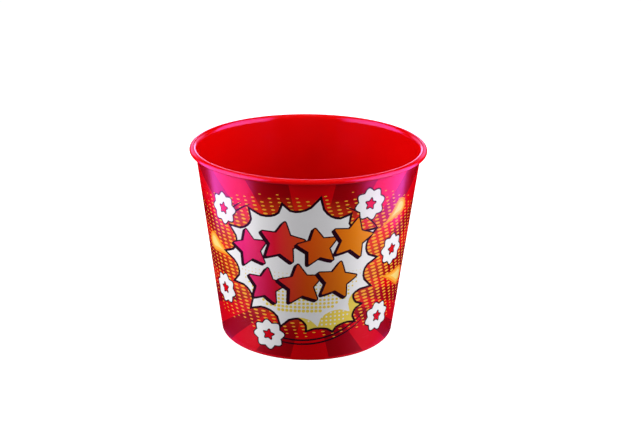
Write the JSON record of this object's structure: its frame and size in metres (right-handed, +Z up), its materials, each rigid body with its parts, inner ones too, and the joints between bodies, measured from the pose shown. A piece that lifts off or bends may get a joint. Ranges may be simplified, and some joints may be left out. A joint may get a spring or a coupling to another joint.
{
  "type": "popcorn bucket",
  "caption": "Empty round popcorn bucket: tapered thin-walled plastic tub with a curled lip, open top, foot ring and an all-round printed wall.",
  "frame": {"origin": "centre of the foot ring, on the surface that the bucket stands on", "axes": "+Z up along the bucket's axis, -Y towards the middle of the printed front, +X to its right as the front is faced"},
  "size_m": [0.17, 0.17, 0.141],
  "materials": {
    "red_plastic": "gloss",
    "printed_label": "gloss print, in bright and dark red rays with a white and yellow badge"
  },
  "bodies": {
    "root": {"bucket": "red_plastic"}
  },
  "joints": []
}
